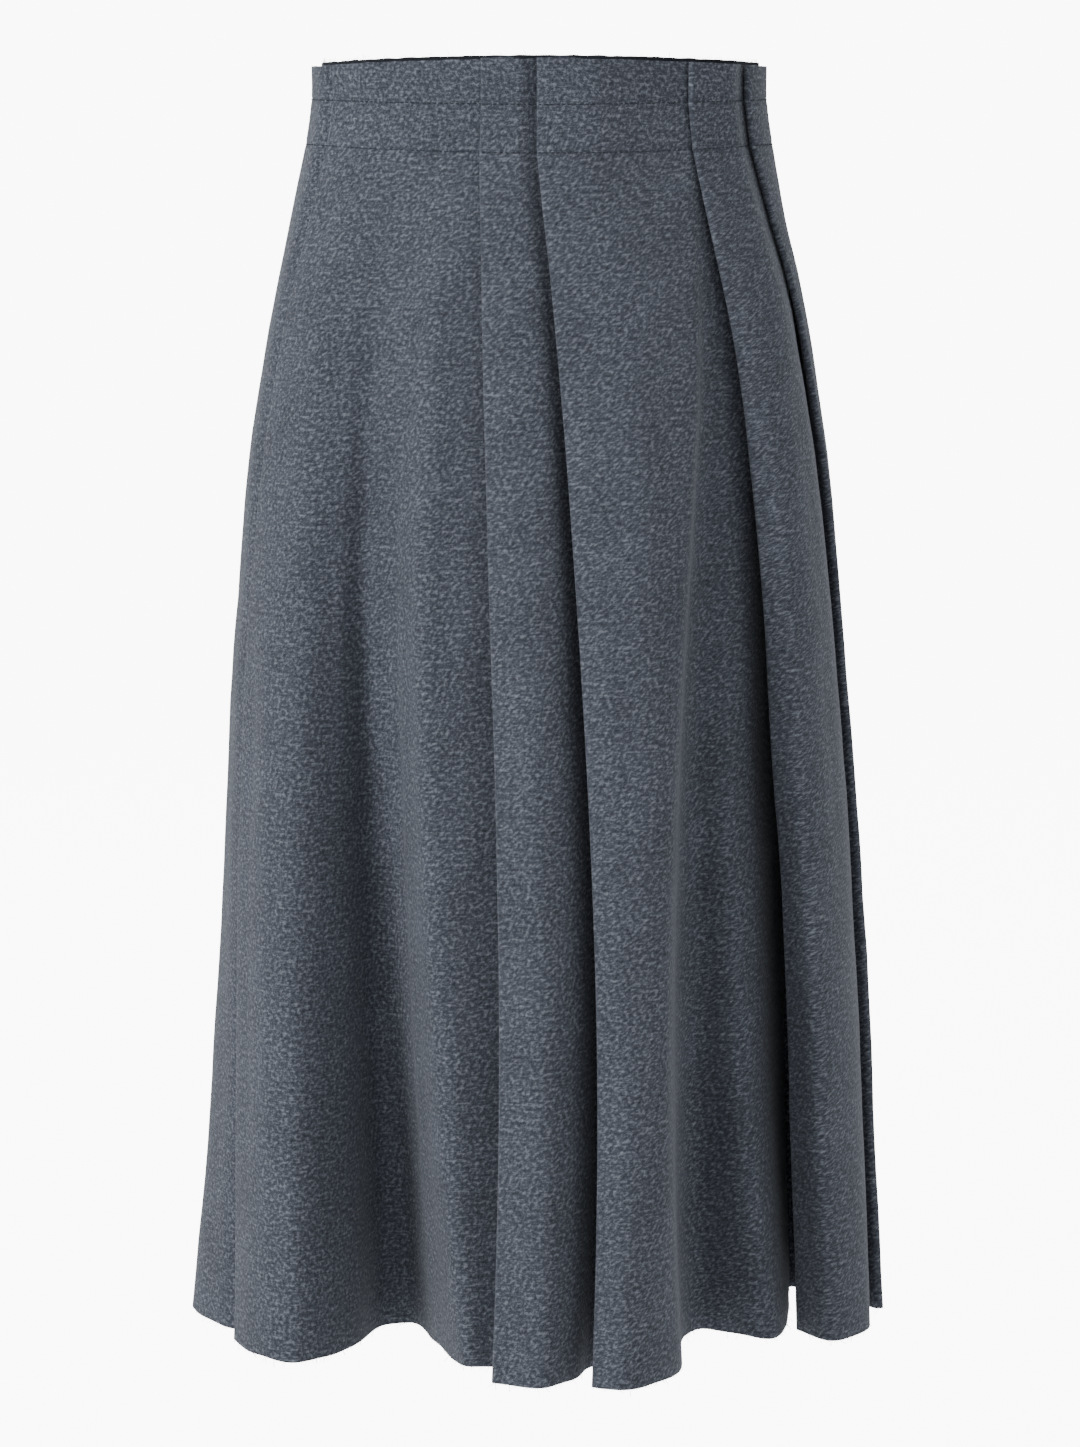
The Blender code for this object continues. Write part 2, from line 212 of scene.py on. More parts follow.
def backPolars(polars):
    # the back half carries the same folds on round the rest of the turn
    moved = []
    for level, (angle, reach) in enumerate(polars):
        start, end = math.radians(halfStart[level]), math.radians(halfEnd[level])
        share = (2 * math.pi - (end - start)) / (end - start)
        depth = 1.0 if level == 0 else cloth["backDepth"]
        moved.append((end + (angle - start) * share, 1.0 - (1.0 - reach) * depth))
    return moved


def fallShare(height):
    return max(0.0, (cloth["release"] - height) / (cloth["release"] - cloth["hem"]))


def placeFold(polars, height):
    fall = fallShare(height)
    knee = fallShare(cloth["thigh"])
    weights = (
        (fall - knee) * (fall - 1) / knee,
        fall * (fall - 1) / (knee * (knee - 1)),
        fall * (fall - knee) / (1 - knee),
    )
    halfWide, halfDeep, middle = outlineAt(height)
    right = sum(w * r * math.sin(a) for w, (a, r) in zip(weights, polars))
    forward = sum(w * r * math.cos(a) for w, (a, r) in zip(weights, polars))
    return Vector((middle + right * halfWide, -forward * halfDeep))


def betweenStops(first, second, height):
    return placeFold([((a + c) / 2, (b + d) / 2) for (a, b), (c, d) in zip(first[1], second[1])], height)


def roundFold(centre, before, after, radius, side):
    # side is 1 round an outer edge and -1 round a hidden turn
    arrive = (centre - before).normalized()
    leave = (after - centre).normalized()
    first = math.atan2(arrive.y, arrive.x)
    sweep = (math.atan2(leave.y, leave.x) - first) * side % (2 * math.pi)
    if sweep > cloth["widestTurn"]:
        sweep -= 2 * math.pi
    arc = []
    for step in range(cloth["turnSteps"] + 1):
        heading = first + side * sweep * step / cloth["turnSteps"]
        arc.append(centre + radius * side * Vector((math.sin(heading), -math.cos(heading))))
    return arc, arrive, leave


def smoothThrough(points, lead, trail):
    # the smooth run through (place, row in the folds) pairs, without its first point
    line = []
    for i in range(len(points) - 1):
        (a, rowA), (b, rowB) = points[i], points[i + 1]
        span = (b - a).length
        slopeA, slopeB = lead * span, trail * span
        if i:
            before = points[i - 1][0]
            slopeA = (b - before) * (span / (span + (a - before).length))
        if i < len(points) - 2:
            beyond = points[i + 2][0]
            slopeB = (beyond - a) * (span / (span + (beyond - b).length))
        for step in range(1, cloth["runSteps"] + 1):
            u = step / cloth["runSteps"]
            line.append((hermite(a, slopeA, b, slopeB, u), rowA + (rowB - rowA) * u))
    return line


def clothLine(mine, others, height):
    # the middle of the wall at a height from seam to seam, as (place in plan, row in the folds)
    stops = mine + others[:1]
    spots = [placeFold(polars, height) for kind, polars in stops]
    radius = cloth["foldRadiusWaist"]
    radius += (cloth["foldRadiusHem"] - radius) * fallShare(height)
    lead = (spots[1] - placeFold(others[-1][1], height)).normalized()
    lastHeading = (placeFold(others[1][1], height) - spots[-2]).normalized()
    line = [(spots[0] + lead * (cloth["seamGap"] / 2), 0.0), (spots[0] + lead * cloth["squareEnd"], 0.0)]
    waiting = [line[-1]]
    for i in range(1, len(stops) - 1):
        kind = stops[i][0]
        if kind == "soft":
            waiting.append((spots[i], float(i)))
            continue
        before, after = spots[i - 1], spots[i + 1]
        if stops[i - 1][0] == "turn":
            before = betweenStops(stops[i - 1], stops[i], height)
            waiting.append((before, i - 0.5))
        if kind == "turn":
            after = betweenStops(stops[i], stops[i + 1], height)
        arc, arrive, leave = roundFold(spots[i], before, after, radius, 1 if kind == "edge" else -1)
        line += smoothThrough(waiting + [(arc[0], float(i))], lead, arrive)
        line += [(place, float(i)) for place in arc[1:]]
        waiting, lead = [line[-1]], leave
    last = float(len(stops) - 1)
    waiting.append((spots[-1] - lastHeading * cloth["squareEnd"], last))
    line += smoothThrough(waiting, lead, lastHeading)
    line.append((spots[-1] - lastHeading * (cloth["seamGap"] / 2), last))
    return line


frontFolds = [(fold[1], foldPolars(fold)) for fold in folds]
backFolds = [(kind, backPolars(polars)) for kind, polars in frontFolds]
foldRow = {fold[0]: i for i, fold in enumerate(folds)}


def sideShare(place):
    return min(1.0, (place.x / outlineAt(cloth["topFront"])[0]) ** 2)


# The shape of the surface on its folds. Heights are at centre front, and sideRise is how much higher
# the same level lies at the sides.
surface = {
    "settle": 0.0013,
    "settleSize": 0.085,
    "ripple": 0.0004,
    "rippleSize": 0.024,
    "sideRise": [(0.0300, -0.0040), (0.0034, 0.0029), (-0.0250, 0.0044), (-0.0900, 0.0)],
    "stitchRows": (0.0034, -0.0250),
    "stitchDent": 0.00042,
    "stitchDentWide": 0.0020,
    "besideRows": (-0.0036, -0.0022, -0.0012, 0.0, 0.0012, 0.0022, 0.0036),
    "waistLevels": (0.0286, 0.0250, 0.0200, 0.0145, 0.0100, -0.0040, -0.0100, -0.0155, -0.0195),
    "levelsBelow": 46,
    "startBelow": -0.0310,
    "topUneven": 0.0006,
    "hemUneven": 0.0014,
    "peek": 0.0013,  # how far the pressed layers stand out of the top edge
    "fullSettleAt": 0.12,  # share of the drop by which the cloth hangs loose
    "seamCalm": 0.02,  # creases fade out this near a side seam
    "creaseFadeIn": 0.22,
    "creaseFadeOut": 0.25,
    "sharpBend": math.radians(50),
}


def sideRise(level):
    rows = surface["sideRise"]
    for (high, riseHigh), (low, riseLow) in zip(rows, rows[1:]):
        if level >= low:
            return riseHigh + (riseLow - riseHigh) * easeInOut((high - level) / (high - low))
    return 0.0


def clothLevels():
    # close together round the stitching and where the pleats open, wider below
    levels = [cloth["topFront"], *surface["waistLevels"]]
    levels += [row + beside for row in surface["stitchRows"] for beside in surface["besideRows"]]
    start, count = surface["startBelow"], surface["levelsBelow"]
    for i in range(count + 1):
        share = i / count
        levels.append(start + (cloth["hem"] - start) * (0.5 * share + 0.5 * share**1.8))
    return sorted(levels, reverse=True)


def creaseLift(half, level, along, rows):
    # what the listed creases add at each point of one level
    lift = [0.0] * len(rows)
    for side, fold, topShift, lowShift, top, low, tall, wide in creases:
        if side != half or not low <= level <= top:
            continue
        run = (top - level) / (top - low)
        fade = easeInOut(run / surface["creaseFadeIn"])
        if low > cloth["hem"]:
            fade *= easeInOut((1 - run) / surface["creaseFadeOut"])
        row = foldRow[fold] + topShift + (lowShift - topShift) * run
        nearest = min(range(len(rows)), key=lambda k: abs(rows[k] - row))
        spread = wide / 1000
        for k, length in enumerate(along):
            off = (length - along[nearest]) / spread
            if abs(off) < 3:
                lift[k] += tall / 1000 * fade * math.exp(-off * off)
    return lift


def linkNew(name, mesh):
    made = bpy.data.objects.new(name, mesh)
    bpy.context.scene.collection.objects.link(made)
    return made


def gridSheet(name, vertices, mapped, rows, count, wall):
    # a sheet of rows x count points with its map in metres, given its wall
    faces = [
        (r * count + c, (r + 1) * count + c, (r + 1) * count + c + 1, r * count + c + 1)
        for r in range(rows - 1)
        for c in range(count - 1)
    ]
    mesh = bpy.data.meshes.new(name)
    mesh.from_pydata(vertices, [], faces)
    layer = mesh.uv_layers.new(name="clothMap")
    for loop in mesh.loops:
        layer.data[loop.index].uv = mapped[loop.vertex_index]
    made = linkNew(name, mesh)
    giveWall(made, wall)
    return made


def makePanel(name, half, mine, others):
    # the panel and the places of its levels
    levels = {}
    vertices, mapped = [], []
    tucked = [foldRow[fold] - 0.5 for fold in ("centreEdge", "middleEdge")]
    for level in clothLevels():
        line = clothLine(mine, others, level)
        count = len(line)
        along = [0.0]
        for (a, _), (b, _) in zip(line, line[1:]):
            along.append(along[-1] + (b - a).length)
        lift = creaseLift(half, level, along, [row for _, row in line])
        loose = easeInOut(fallShare(level) / surface["fullSettleAt"])
        dentWide = surface["stitchDentWide"]
        dent = sum(math.exp(-(((level - row) / dentWide) ** 2)) for row in surface["stitchRows"])
        halfWide, halfDeep, middle = outlineAt(level)
        ring = []
        for k, (p, row) in enumerate(line):
            heading = (line[min(count - 1, k + 1)][0] - line[max(0, k - 1)][0]).normalized()
            outward = Vector((heading.y, -heading.x))
            radial = Vector(((p.x - middle) / halfWide**2, p.y / halfDeep**2)).normalized()
            z = level + sideRise(level) * sideShare(p)
            spot = Vector((p.x, p.y, z))
            drift = surface["settle"] * noise.noise(spot / surface["settleSize"] + Vector((3.1, 8.4, 1.7)))
            drift += surface["ripple"] * noise.noise(spot / surface["rippleSize"])
            seamFade = easeInOut(min(along[k], along[-1] - along[k]) / surface["seamCalm"])
            shift = radial * (drift * loose - surface["stitchDent"] * dent) + outward * (lift[k] * seamFade)
            if level == cloth["topFront"]:
                z += surface["topUneven"] * noise.noise(Vector((row * 1.7, along[k] * 70, 2.0)))
                z += surface["peek"] * max(math.exp(-((row - hidden) * 1.6) ** 2) for hidden in tucked)
            if level == cloth["hem"]:
                z += surface["hemUneven"] * noise.noise(Vector((along[k] * 40, 5.0, 2.0)))
            ring.append(Vector((p.x + shift.x, p.y + shift.y, z)))
            mapped.append((along[k], z))
        vertices += ring
        levels[level] = ring
    panel = gridSheet(name, vertices, mapped, len(levels), count, cloth["wall"])
    print(name, len(panel.data.polygons), "faces")
    return panel, levels


def giveWall(item, thickness):
    wall = item.modifiers.new("wall", "SOLIDIFY")
    wall.thickness = thickness
    wall.offset = 0.0
    wall.use_even_offset = True
    wall.use_quality_normals = True
    makeReal(item)
    item.data.polygons.foreach_set("use_smooth", [True] * len(item.data.polygons))
    item.data.set_sharp_from_angle(angle=surface["sharpBend"])


def makeReal(item):
    # the modifiers' result becomes the object's own plain mesh
    bpy.context.view_layer.update()
    result = bpy.data.meshes.new_from_object(item.evaluated_get(bpy.context.evaluated_depsgraph_get()))
    item.modifiers.clear()
    item.data = result
    result.name = item.name
    return item


frontPanel, frontLevels = makePanel("frontPanel", "front", frontFolds, backFolds)
backPanel, backLevels = makePanel("backPanel", "back", backFolds, frontFolds)


# The tape inside the top edge, drawn near-black: its dark colour is painted shade for the shaded layered top
# edge of the cloth. Its top is frayed and stands just above the flannel.
tape = {
    "wall": 0.0010,
    "above": 0.0022,
    "below": 0.0100,
    "clear": 0.0005,
    "step": math.radians(4.0),
    "window": (-1.0, -0.6, -0.2, 0.2, 0.6, 1.0),  # in steps, where it stays inside the cloth
    "between": 6,
    "drops": (1.0, 0.75, 0.35, -0.2, -1.0),  # its rows, as shares of above and of below
    "uneven": 0.0006,
}


def crossings(lines, angle):
    # distances at which a ray from the middle of the waist meets the cloth, with the height there
    ray = Vector((math.sin(angle), -math.cos(angle)))
    found = []
    for line in lines:
        for a, b in zip(line, line[1:]):
            sideA, sideB = ray.x * a.y - ray.y * a.x, ray.x * b.y - ray.y * b.x
            if sideA * sideB > 0 or sideA == sideB:
                continue
            share = sideA / (sideA - sideB)
            spot = a + (b - a) * share
            distance = spot.x * ray.x + spot.y * ray.y
            if distance > 0:
                found.append((distance, spot.z))
    return sorted(found)


def makeTape():
    lines = [frontLevels[cloth["topFront"]], backLevels[cloth["topFront"]]]
    seam = placeFold(backFolds[0][1], cloth["topFront"])
    placket = math.atan2(seam.x, -seam.y)
    inset = cloth["wall"] / 2 + tape["clear"] + tape["wall"] / 2
    count = round(2 * math.pi / tape["step"])
    reaches = []
    for i in range(count):
        angle = placket + i * tape["step"]
        near = [crossings(lines, angle + tape["step"] * share)[0][0] for share in tape["window"]]
        reaches.append(min(near) - inset)
    points = []
    for i in range(count * tape["between"] + 1):
        at = i / tape["between"]
        j, u = int(at) % count, at % 1.0
        r = [reaches[(j + n) % count] for n in (-1, 0, 1, 2)]
        reach = hermite(r[1], (r[2] - r[0]) / 2, r[2], (r[3] - r[1]) / 2, u)
        angle = placket + at * tape["step"]
        points.append(Vector((reach * math.sin(angle), -reach * math.cos(angle))))
    along = (points[1] - points[-2]).normalized()
    points[0] += along * (cloth["seamGap"] / 2)
    points[-1] -= along * (cloth["seamGap"] / 2)
    vertices, mapped = [], []
    for drop in tape["drops"]:
        length = 0.0
        for k, p in enumerate(points):
            if k:
                length += (p - points[k - 1]).length
            top = cloth["topFront"] + sideRise(cloth["topFront"]) * sideShare(p)
            z = top + (tape["above"] * drop if drop > 0 else tape["below"] * drop)
            if drop == 1.0:
                z += tape["uneven"] * noise.noise(Vector((length * 130, 1.0, 4.0)))
            vertices.append((p.x, p.y, z))
            mapped.append((length, z))
    made = gridSheet("edgeTape", vertices, mapped, len(tape["drops"]), len(points), tape["wall"])
    return made, [Vector(v) for v in vertices[: len(points)]]


edgeTape, tapeTop = makeTape()
print("edge tape done")


def newTree(name, kind, inputs, outputs):
    # inputs and outputs are (name, socket kind) with a starting value where one is useful
    tree = bpy.data.node_groups.new(name, kind)
    for way, sockets in (("INPUT", inputs), ("OUTPUT", outputs)):
        for label, socketKind, *value in sockets:
            socket = tree.interface.new_socket(label, in_out=way, socket_type="NodeSocket" + socketKind)
            if value:
                socket.default_value = value[0]
    return tree, tree.nodes.new("NodeGroupInput").outputs


def finishTree(tree, geometry, material):
    # instances made real, then dyed
    real = addNode(tree, "GeometryNodeRealizeInstances", {"Geometry": geometry})
    dyed = addNode(tree, "GeometryNodeSetMaterial", {"Geometry": real.outputs[0], "Material": material})
    tree.links.new(dyed.outputs[0], tree.nodes.new("NodeGroupOutput").inputs[0])
    return tree


def addNode(tree, kind, values=None, **settings):
    node = tree.nodes.new(kind)
    for name, value in settings.items():
        setattr(node, name, value)
    for name, value in (values or {}).items():
        if isinstance(value, bpy.types.NodeSocket):
            tree.links.new(value, node.inputs[name])
        else:
            node.inputs[name].default_value = value
    return node


def pathObject(name, runs):
    # an object of open polylines for a Geometry Nodes tree to follow
    vertices, edges = [], []
    for run in runs:
        edges += [(len(vertices) + i, len(vertices) + i + 1) for i in range(len(run) - 1)]
        vertices += run
    mesh = bpy.data.meshes.new(name)
    mesh.from_pydata(vertices, edges, [])
    return linkNew(name, mesh)


def growOn(item, tree, values):
    grow = item.modifiers.new("grow", "NODES")
    grow.node_group = tree
    for socket in tree.interface.items_tree:
        if socket.in_out == "INPUT" and socket.name in values:
            grow[socket.identifier] = values[socket.name]
    return makeReal(item)


# Topstitching through every layer of the waist
stitching = {
    "length": 0.0026,
    "gap": 0.0009,
    "radius": 0.00034,
    "sink": 0.00008,  # how far the thread pulls into the cloth
    "rayStep": math.radians(0.3),
}


def stitchTree():
    tree, given = newTree(
        "lockstitchRow",
        "GeometryNodeTree",
        [
            ("Geometry", "Geometry"),
            ("Stitch Length", "Float"),
            ("Gap", "Float"),
            ("Thread Radius", "Float"),
            ("Seed", "Int", 3),
            ("Thread", "Material"),
        ],
        [("Geometry", "Geometry")],
    )
    pitch = addNode(
        tree, "ShaderNodeMath", {0: given["Stitch Length"], 1: given["Gap"]}, operation="ADD"
    ).outputs[0]
    curve = addNode(tree, "GeometryNodeMeshToCurve", {"Mesh": given["Geometry"]})
    spaced = addNode(
        tree, "GeometryNodeResampleCurve", {"Curve": curve.outputs[0], "Length": pitch}, mode="LENGTH"
    )
    tangent = tree.nodes.new("GeometryNodeInputTangent")
    turned = addNode(tree, "FunctionNodeAlignEulerToVector", {"Vector": tangent.outputs[0]}, axis="Z")
    tilt = addNode(
        tree,
        "FunctionNodeRandomValue",
        {"Min": (-0.10, -0.10, 0.0), "Max": (0.10, 0.10, 0.0), "Seed": given["Seed"]},
        data_type="FLOAT_VECTOR",
    )
    aimed = addNode(
        tree,
        "FunctionNodeRotateEuler",
        {"Rotation": turned.outputs[0], "Rotate By": tilt.outputs[0]},
        space="LOCAL",
    )
    bead = addNode(tree, "GeometryNodeMeshUVSphere", {"Segments": 6, "Rings": 6, "Radius": 1.0})
    half = addNode(
        tree, "ShaderNodeMath", {0: given["Stitch Length"], 1: 0.5}, operation="MULTIPLY"
    ).outputs[0]
    size = addNode(
        tree, "ShaderNodeCombineXYZ", {"X": given["Thread Radius"], "Y": given["Thread Radius"], "Z": half}
    )
    laid = addNode(
        tree,
        "GeometryNodeInstanceOnPoints",
        {
            "Points": spaced.outputs[0],
            "Instance": bead.outputs[0],
            "Rotation": aimed.outputs[0],
            "Scale": size.outputs[0],
        },
    )
    return finishTree(tree, laid.outputs[0], given["Thread"])


def outerRun(level):
    # all round the outside of the cloth at one level, seen layer to seen layer
    lines = [frontLevels[level], backLevels[level]]
    run = []
    count = round(2 * math.pi / stitching["rayStep"])
    for i in range(count + 1):
        angle = i * stitching["rayStep"] - math.pi
        distance, z = crossings(lines, angle)[-1]
        distance += cloth["wall"] / 2 + stitching["radius"] - stitching["sink"]
        run.append(Vector((distance * math.sin(angle), -distance * math.cos(angle), z)))
    return run


def stitchRuns():
    rows = [min(frontLevels, key=lambda level: abs(level - row)) for row in surface["stitchRows"]]
    return [outerRun(level) for level in rows]


# Loose fibres at the raw edges
fraying = {
    "hemEvery": 0.0008,
    "hemLength": 0.0016,
    "topEvery": 0.0009,
    "topLength": 0.0012,
    "hemBelow": 0.0002,
    "spread": 0.9,
}


def fibreTree():
    tree, given = newTree(
        "frayedEdge",
        "GeometryNodeTree",
        [
            ("Geometry", "Geometry"),
            ("Spacing", "Float"),
            ("Length", "Float"),
            ("Spread", "Float"),
            ("Up", "Float"),
            ("Seed", "Int", 11),
            ("Fibre", "Material"),
        ],
        [("Geometry", "Geometry")],
    )
    curve = addNode(tree, "GeometryNodeMeshToCurve", {"Mesh": given["Geometry"]})
    spaced = addNode(
        tree,
        "GeometryNodeResampleCurve",
        {"Curve": curve.outputs[0], "Length": given["Spacing"]},
        mode="LENGTH",
    )
    jitter = addNode(
        tree,
        "FunctionNodeRandomValue",
        {"Min": (-0.0005, -0.0005, -0.0004), "Max": (0.0005, 0.0005, 0.0006), "Seed": given["Seed"]},
        data_type="FLOAT_VECTOR",
    )
    moved = addNode(
        tree, "GeometryNodeSetPosition", {"Geometry": spaced.outputs[0], "Offset": jitter.outputs[0]}
    )
    strand = addNode(
        tree,
        "GeometryNodeCurvePrimitiveBezierSegment",
        {
            "Resolution": 4,
            "Start": (0.0, 0.0, 0.0),
            "Start Handle": (0.05, 0.0, 0.35),
            "End Handle": (0.30, 0.05, 0.70),
            "End": (0.38, 0.20, 1.0),
        },
    )
    ring = addNode(tree, "GeometryNodeCurvePrimitiveCircle", {"Resolution": 3, "Radius": 0.035})
    tube = addNode(
        tree, "GeometryNodeCurveToMesh", {"Curve": strand.outputs[0], "Profile Curve": ring.outputs[0]}
    )
    lean = addNode(
        tree,
        "FunctionNodeRandomValue",
        {"Min": (-1.0, -1.0, 0.0), "Max": (1.0, 1.0, 0.0), "Seed": given["Seed"]},
        data_type="FLOAT_VECTOR",
    )
    spreadOut = addNode(
        tree, "ShaderNodeVectorMath", {0: lean.outputs[0], "Scale": given["Spread"]}, operation="SCALE"
    )
    upward = addNode(tree, "ShaderNodeCombineXYZ", {"X": 0.0, "Y": 0.0, "Z": given["Up"]})
    aim = addNode(
        tree, "ShaderNodeVectorMath", {0: spreadOut.outputs[0], 1: upward.outputs[0]}, operation="ADD"
    )
    turned = addNode(tree, "FunctionNodeAlignEulerToVector", {"Vector": aim.outputs[0]}, axis="Z")
    rolled = addNode(
        tree,
        "FunctionNodeRandomValue",
        {"Min": (0.0, 0.0, 0.0), "Max": (0.0, 0.0, 6.28), "Seed": 5},
        data_type="FLOAT_VECTOR",
    )
    rotation = addNode(
        tree,
        "FunctionNodeRotateEuler",
        {"Rotation": turned.outputs[0], "Rotate By": rolled.outputs[0]},
        space="LOCAL",
    )
    chance = addNode(tree, "FunctionNodeRandomValue", {2: 0.0, 3: 1.0, "Seed": 21}, data_type="FLOAT")
    rare = addNode(tree, "ShaderNodeMath", {0: chance.outputs[1], 1: 7.0}, operation="POWER")  # few are long
    stretch = addNode(
        tree, "ShaderNodeMath", {0: rare.outputs[0], 1: 2.2, 2: 0.55}, operation="MULTIPLY_ADD"
    )
    size = addNode(
        tree, "ShaderNodeMath", {0: stretch.outputs[0], 1: given["Length"]}, operation="MULTIPLY"
    )
    laid = addNode(
        tree,
        "GeometryNodeInstanceOnPoints",
        {
            "Points": moved.outputs[0],
            "Instance": tube.outputs[0],
            "Rotation": rotation.outputs[0],
            "Scale": size.outputs[0],
        },
    )
    return finishTree(tree, laid.outputs[0], given["Fibre"])


# The finish of the flannel: light and dark wool carded together, in even cloth with a faint crosswise slub
flannel = {
    "dark": (0.012, 0.014, 0.020, 1.0),
    "mid": (0.041, 0.047, 0.062, 1.0),
    "light": (0.165, 0.180, 0.210, 1.0),
    "speckle": 430.0,  # per metre
    "slub": (95.0, 900.0, 95.0),
    "cloud": 22.0,
    "slubStrength": 0.28,
    "specular": 0.22,
    "sheen": 0.16,
    "sheenRoughness": 0.45,
    "sheenTint": (0.70, 0.74, 0.80, 1.0),
    "bump": 0.00035,
}


def flannelGroup():
    tree, given = newTree(
        "cardedWool",
        "ShaderNodeTree",
        [
            ("Vector", "Vector"),
            ("Speckle Scale", "Float"),
            ("Cloud Scale", "Float"),
            ("Slub", "Float"),
            ("Dark", "Color"),
            ("Mid", "Color"),
            ("Light", "Color"),
        ],
        [("Color", "Color"), ("Roughness", "Float"), ("Height", "Float")],
    )
    vector = given["Vector"]
    speckle = addNode(
        tree,
        "ShaderNodeTexNoise",
        {"Vector": vector, "Scale": given["Speckle Scale"], "Detail": 3.0, "Roughness": 0.65},
    ).outputs[0]
    finer = addNode(
        tree, "ShaderNodeMath", {0: given["Speckle Scale"], 1: 2.7}, operation="MULTIPLY"
    ).outputs[0]
    fibre = addNode(
        tree,
        "ShaderNodeTexNoise",
        {"Vector": vector, "Scale": finer, "Detail": 2.0, "Roughness": 0.6, "Distortion": 0.8},
    ).outputs[0]
    stretched = addNode(tree, "ShaderNodeMapping", {"Vector": vector, "Scale": flannel["slub"]})
    slub = addNode(
        tree,
        "ShaderNodeTexNoise",
        {"Vector": stretched.outputs[0], "Scale": 1.0, "Detail": 2.0, "Roughness": 0.5},
    ).outputs[0]
    cloud = addNode(
        tree,
        "ShaderNodeTexNoise",
        {"Vector": vector, "Scale": given["Cloud Scale"], "Detail": 2.0, "Roughness": 0.55},
    ).outputs[0]
    mixed = addNode(tree, "ShaderNodeMath", {0: slub, 1: given["Slub"], 2: speckle}, operation="MULTIPLY_ADD")
    centred = addNode(
        tree, "ShaderNodeMath", {0: given["Slub"], 1: -0.5, 2: mixed.outputs[0]}, operation="MULTIPLY_ADD"
    )
    toLight = addNode(
        tree,
        "ShaderNodeMapRange",
        {"Value": centred.outputs[0], "From Min": 0.50, "From Max": 0.74},
    ).outputs[0]
    toDark = addNode(
        tree,
        "ShaderNodeMapRange",
        {"Value": centred.outputs[0], "From Min": 0.50, "From Max": 0.26},
    ).outputs[0]
    fibreLight = addNode(
        tree, "ShaderNodeMapRange", {"Value": fibre, "From Min": 0.56, "From Max": 0.72, "To Max": 0.55}
    ).outputs[0]
    base = addNode(
        tree, "ShaderNodeMix", {"Factor": toDark, 6: given["Mid"], 7: given["Dark"]}, data_type="RGBA"
    ).outputs[2]
    lighter = addNode(
        tree, "ShaderNodeMix", {"Factor": toLight, 6: base, 7: given["Light"]}, data_type="RGBA"
    ).outputs[2]
    strands = addNode(
        tree, "ShaderNodeMix", {"Factor": fibreLight, 6: lighter, 7: given["Light"]}, data_type="RGBA"
    ).outputs[2]
    cloudValue = addNode(
        tree,
        "ShaderNodeMapRange",
        {"Value": cloud, "From Min": 0.3, "From Max": 0.7, "To Min": 0.90, "To Max": 1.10},
    ).outputs[0]
    shaded = addNode(
        tree,
        "ShaderNodeHueSaturation",
        {"Color": strands, "Value": cloudValue},
    ).outputs[0]
    rough = addNode(
        tree,
        "ShaderNodeMapRange",
        {"Value": fibre, "From Min": 0.3, "From Max": 0.7, "To Min": 0.84, "To Max": 0.98},
    ).outputs[0]
    height = addNode(
        tree, "ShaderNodeMath", {0: fibre, 1: 0.6, 2: speckle}, operation="MULTIPLY_ADD"
    ).outputs[0]
    out = tree.nodes.new("NodeGroupOutput").inputs
    tree.links.new(shaded, out["Color"])
    tree.links.new(rough, out["Roughness"])
    tree.links.new(height, out["Height"])
    return tree


cardedWool = flannelGroup()


def clothMaterial(name, look, uvMap):
    made = bpy.data.materials.new(name)
    made.use_nodes = True
    tree = made.node_tree
    shader = tree.nodes["Principled BSDF"]
    if uvMap:
        where = addNode(tree, "ShaderNodeUVMap", uv_map=uvMap).outputs[0]
    else:
        where = tree.nodes.new("ShaderNodeTexCoord").outputs["Object"]
    wool = tree.nodes.new("ShaderNodeGroup")
    wool.node_tree = cardedWool
    tree.links.new(where, wool.inputs["Vector"])
    for socket, value in (
        ("Speckle Scale", "speckle"),
        ("Cloud Scale", "cloud"),
        ("Slub", "slubStrength"),
        ("Dark", "dark"),
        ("Mid", "mid"),
        ("Light", "light"),
    ):
        wool.inputs[socket].default_value = look[value]
    bump = addNode(tree, "ShaderNodeBump", {"Strength": 0.7, "Distance": look["bump"]})
    tree.links.new(wool.outputs["Height"], bump.inputs["Height"])
    tree.links.new(wool.outputs["Color"], shader.inputs["Base Color"])
    tree.links.new(wool.outputs["Roughness"], shader.inputs["Roughness"])
    tree.links.new(bump.outputs[0], shader.inputs["Normal"])
    shader.inputs["Specular IOR Level"].default_value = look["specular"]
    shader.inputs["Sheen Weight"].default_value = look["sheen"]
    shader.inputs["Sheen Roughness"].default_value = look["sheenRoughness"]
    shader.inputs["Sheen Tint"].default_value = look["sheenTint"]
    return made


# Near-black colours. On the edge tape and its frayed top they are painted shade for the shaded layered top
# edge; the thread takes its dark and light colours from here as its own dark navy.
tapeShadeAndThreadDark = {
    **flannel,
    "dark": (0.004, 0.005, 0.008, 1.0),
    "mid": (0.010, 0.012, 0.017, 1.0),
    "light": (0.035, 0.040, 0.050, 1.0),
    "speckle": 900.0,
    "sheen": 0.10,
}
threadLook = {**tapeShadeAndThreadDark, "speckle": 2400.0, "mid": (0.013, 0.017, 0.026, 1.0), "sheen": 0.15}

woolFinish = clothMaterial("woolBlueGrey", flannel, "clothMap")
fibreFinish = clothMaterial("woolFibre", flannel, None)
# painted shade: the near-black material of the edge tape and its frayed top
tapePaintedShade = clothMaterial("edgeTapePaintedShade", tapeShadeAndThreadDark, "clothMap")
threadFinish = clothMaterial("navyThread", threadLook, None)
for panel in (frontPanel, backPanel):
    panel.data.materials.clear()
    panel.data.materials.append(woolFinish)
edgeTape.data.materials.clear()
edgeTape.data.materials.append(tapePaintedShade)


